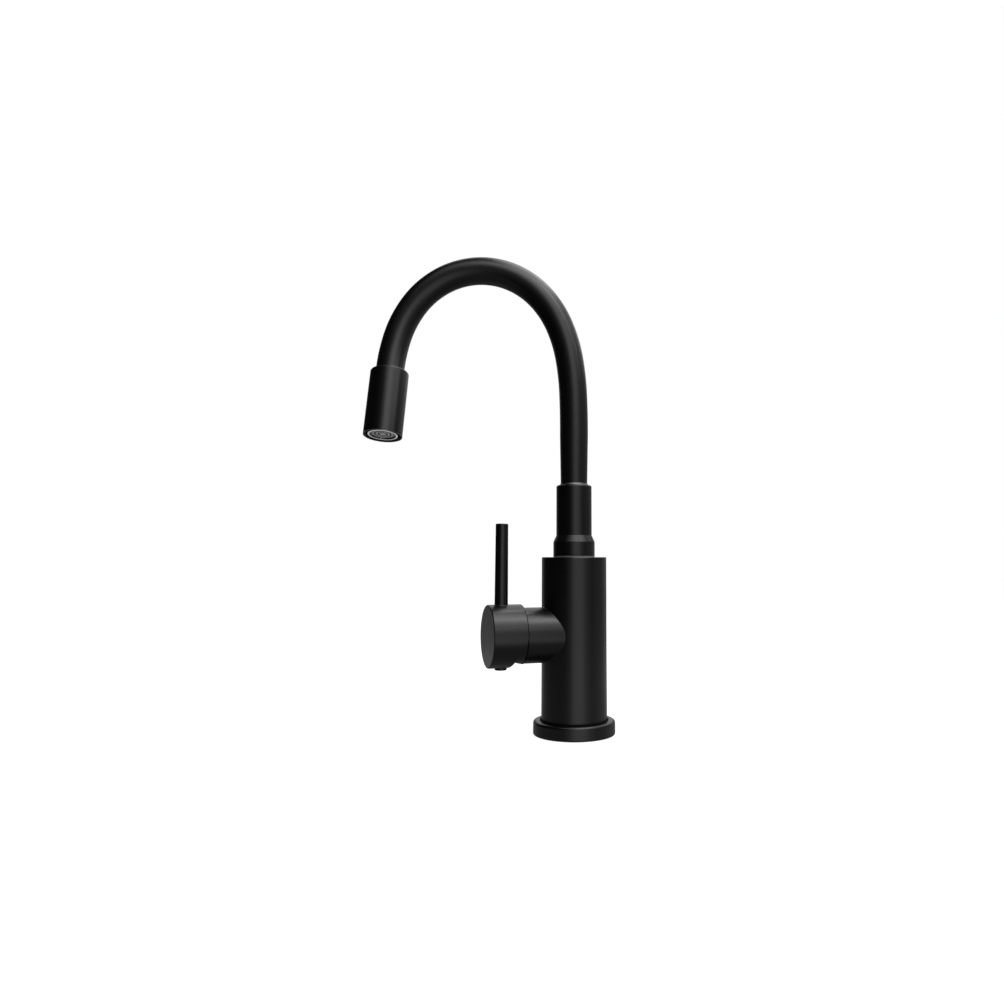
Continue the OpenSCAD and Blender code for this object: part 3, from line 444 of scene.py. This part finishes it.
def corner_bead(foot, pipe, host, pipe_r, host_r, ball_r, sides):
    """Coat drawn into the corner where a round pipe leaves a round host, as a rolling ball shapes it."""
    across = pipe.cross(host)

    def section(a):
        out = math.cos(a) * host + math.sin(a) * across

        def corner(pipe_radius, host_radius):
            along = math.sqrt(host_radius ** 2 - (pipe_radius * math.sin(a)) ** 2)
            return foot + pipe_radius * out + along * pipe

        ball = corner(pipe_r + ball_r, host_r + ball_r)
        away = ball - foot
        away = (away - away.dot(host) * host).normalized()
        arc = [ball - ball_r * out.slerp(away, step / ARC_STEPS) for step in range(ARC_STEPS + 1)]
        buried = corner(pipe_r - BURIED, host_r - BURIED)
        return [arc[0] - BURIED * out] + arc + [arc[-1] - BURIED * away, buried]

    def build(bm):
        join_rings(bm, [new_ring(bm, section(math.tau * i / sides)) for i in range(sides)], closed=True)
    return build


def round_ring(middle, axis, side, ring_r, section_r):
    """Round ring laid about an axis, here a dark ring that stands in for painted shade; side is any
    direction square to the axis.
    """
    def build(bm):
        ways = circle(Vector(), side, axis.cross(side), 1, RING_SIDES)
        join_rings(bm, [new_ring(bm, circle(middle + ring_r * way, way, axis, section_r, RING_FACETS))
                        for way in ways], closed=True)
    return build


def thread(middle, bore_r, high, pitch):
    """Ridge of a thread in an upright bore, sunk a little into its wall."""
    wall, crest = bore_r + RIDGE_SUNK, bore_r - pitch * RIDGE_DEPTH
    profile = [(wall, -RIDGE_FOOT), (crest, -RIDGE_CREST), (crest, RIDGE_CREST), (wall, RIDGE_FOOT)]

    def build(bm):
        rings = []
        for i in range(int((high - THREAD_LOW) / pitch * THREAD_STEPS)):
            way = direction(360 * i / THREAD_STEPS, 0)
            z = THREAD_LOW + pitch * i / THREAD_STEPS
            rings.append(new_ring(bm, [
                middle + out * way + (z + pitch * share) * UP for out, share in profile]))
        join_rings(bm, rings, closed=False)
    return build


def add_beads():
    """The coat's beads in two corners, and black rings that stand in for painted shade in the groove at the
    body's foot and in the seam at the housing's rim.
    """
    housing_bead = make_object("housing_bead", corner_bead(
        SIDE_FOOT, SIDE_WAY, UP, HOUSING_R, BODY_R, HOUSING_BEAD_R, HOUSING_SIDES))
    rod_bead = make_object("rod_bead", corner_bead(
        SIDE_FOOT + SIDE_WAY * ROD_AT, UP, SIDE_WAY, ROD_FOOT_R, CAP_R, ROD_BEAD_R, ROD_SIDES))
    finish_piece(housing_bead, COAT, "tap_body", sharp_from=60)
    finish_piece(rod_bead, COAT, "lever", sharp_from=60)
    # painted shade: these near-black rings draw the shadow of the foot groove and of the cap seam
    foot_shade_ring = make_object("foot_shade_ring", round_ring(
        UP * (FLANGE_TOP + FOOT_SHADE_RING_UP), UP, Vector((1, 0, 0)), BODY_R + FOOT_SHADE_RING_OUT, FOOT_SHADE_RING_R))
    joint_shade_ring = make_object("joint_shade_ring", round_ring(
        SIDE_FOOT + SIDE_WAY * HOUSING_END, SIDE_WAY, UP, HOUSING_R - JOINT_SHADE_RING_IN, JOINT_SHADE_RING_R))
    for ring in (foot_shade_ring, joint_shade_ring):
        finish_piece(ring, SHADE_RING_LOOK, "tap_body", sharp_from=60)


def add_threads():
    """Thread ridges in the stud hole and the two supply holes under the tap."""
    out, across = SIDE_WAY * HOLE_OUT, UP.cross(SIDE_WAY) * HOLE_SIDE
    for name, middle, sizes in (
            ("stud_thread", Vector(), STUD_THREAD),
            ("cold_thread", out - across, SUPPLY_THREAD),
            ("hot_thread", out + across, SUPPLY_THREAD)):
        ridge = make_object(name, thread(middle, *sizes))
        finish_piece(ridge, BRASS, "tap_body", sharp_from=30)


add_beads()
add_threads()


# ---- stage, in metres --------------------------------------------------------------------

STUDIO_MIDDLE = Vector((-0.04, 0, 0.17))
STUDIO_REACH = 1.2         # distance of the soft panels from there
FLOOR_SIZE, FLOOR_DROP = 6, 0.0002     # the floor's half width, and its depth under the tap
FLOOR_CELLS = 8
GLOW_RADIUS, GLOW_BRIGHTNESS = 0.6, 0.16
MOUTH = Vector((-0.147, -0.01, 0.212))
CARD_WAY, CARD_REACH = Vector((-0.29, 0.83, -0.47)).normalized(), 0.16     # from the mouth
CARD_RADIUS, CARD_BRIGHTNESS, CARD_SPREAD = 0.06, 0.06, 60
DIM_FILL = 0.01            # the white surroundings' light on the tap
# name, azimuth, elevation, angle across, angle up, brightness
SOFTBOXES = [
    ("front_strip", 19, -6, 40, 44, 0.84),
    ("strip_left", -9, -6, 16, 44, 0.15),
    ("strip_right", 51, -6, 24, 44, 0.27),
    ("key_left", 8, 52, 28, 28, 1.6),
    ("key", 42, 54, 32, 24, 2.2),
    ("front_bank", 26, 29, 36, 22, 1.7),
    ("right_bank", 70, 44, 28, 36, 1.6),
    ("top_panel", 100, 74, 50, 30, 2.9),
    ("top_front", 345, 62, 36, 24, 1.0),
    ("right_wall", 100, 5, 60, 50, 0.19),
    ("right_back_wall", 150, 8, 44, 50, 0.24),
    ("right_back_bank", 128, 44, 44, 36, 0.9),
    ("back_wall", 181, 4, 18, 28, 0.6),
    ("back_high", 180, 30, 64, 24, 0.9),
    ("back_top", 180, 54, 44, 24, 1.1),
    ("left_back_wall", 208, 8, 34, 50, 0.2),
    ("left_wall", 250, 8, 50, 50, 0.008),
]


def make_floor():
    """A pale floor that glows like a light table, so the ground stays white without glare on the tap."""
    def sheet(bm):
        bmesh.ops.create_grid(bm, x_segments=FLOOR_CELLS, y_segments=FLOOR_CELLS, size=FLOOR_SIZE)
    floor = make_object("floor", sheet)
    floor.location.z = -FLOOR_DROP
    look = Look("pale_floor", Specular_IOR_Level=0.1, Emission_Strength=1.0)
    clouds = look.noise(3, detail=2)
    x, y, _ = look.axes()
    # painted light: the floor's glow is full out where the lamps no longer reach, and a little lower near
    # the tap, where lamp light and the tap's real shadow fall on it
    away = look.spread((x ** 2.0 + y ** 2.0) ** 0.5, low=0.1, high=0.4)
    floor.data.materials.append(look.use(
        Base_Color=look.mix(clouds, grey(0.28), grey(0.32)),
        Roughness=0.8 + clouds * 0.1,
        Emission_Color=look.mix(away, grey(0.88), grey(1.0))))
    floor.visible_diffuse = floor.visible_glossy = floor.visible_shadow = False


def make_world():
    """White where the camera looks past the tap, dim for everything else."""
    world = bpy.data.worlds.new("studio")
    scene.world = world
    world.use_nodes = True
    tree = world.node_tree
    back = tree.nodes["Background"]
    back.inputs["Color"].default_value = grey(1.0)
    seen = Sum(tree, tree.nodes.new("ShaderNodeLightPath").outputs["Is Camera Ray"])
    feed(tree, back.inputs["Strength"], seen * (1 - DIM_FILL) + DIM_FILL)


def hang(data, area, brightness, place, way):
    """Hangs an area light at a place, facing a direction, out of the camera's sight."""
    data.energy = math.pi * area * brightness
    lamp = bpy.data.objects.new(data.name, data)
    lamp.location = place
    lamp.rotation_mode = "QUATERNION"
    lamp.rotation_quaternion = way.to_track_quat("-Z", "Y")
    lamp.visible_camera = False
    scene.collection.objects.link(lamp)


def softbox(name, azimuth, elevation, across, tall, brightness):
    """A soft panel. Azimuth 0 is the camera's side and 90 the right; its sizes are angles at the tap."""
    data = bpy.data.lights.new(name, "AREA")
    data.shape = "RECTANGLE"
    data.size = 2 * STUDIO_REACH * math.tan(math.radians(across / 2))
    data.size_y = 2 * STUDIO_REACH * math.tan(math.radians(tall / 2))
    way = direction(azimuth - 90, elevation)
    hang(data, data.size * data.size_y, brightness, STUDIO_MIDDLE + way * STUDIO_REACH, -way)


def disc_light(name, radius, brightness, place, way, spread=180):
    """A round panel. A spread under 180 degrees keeps its beam narrow."""
    data = bpy.data.lights.new(name, "AREA")
    data.shape = "DISK"
    data.size = 2 * radius
    data.spread = math.radians(spread)
    hang(data, math.pi * radius ** 2, brightness, place, way)


make_floor()
make_world()
# the pale floor's own light on the tap's lower half
disc_light("floor_glow", GLOW_RADIUS, GLOW_BRIGHTNESS, UP * -FLOOR_DROP / 2, UP)
# a small card under the head, behind it, that lights the aerator
disc_light("mouth_card", CARD_RADIUS, CARD_BRIGHTNESS, MOUTH + CARD_WAY * CARD_REACH, -CARD_WAY,
           CARD_SPREAD)
for row in SOFTBOXES:
    softbox(*row)
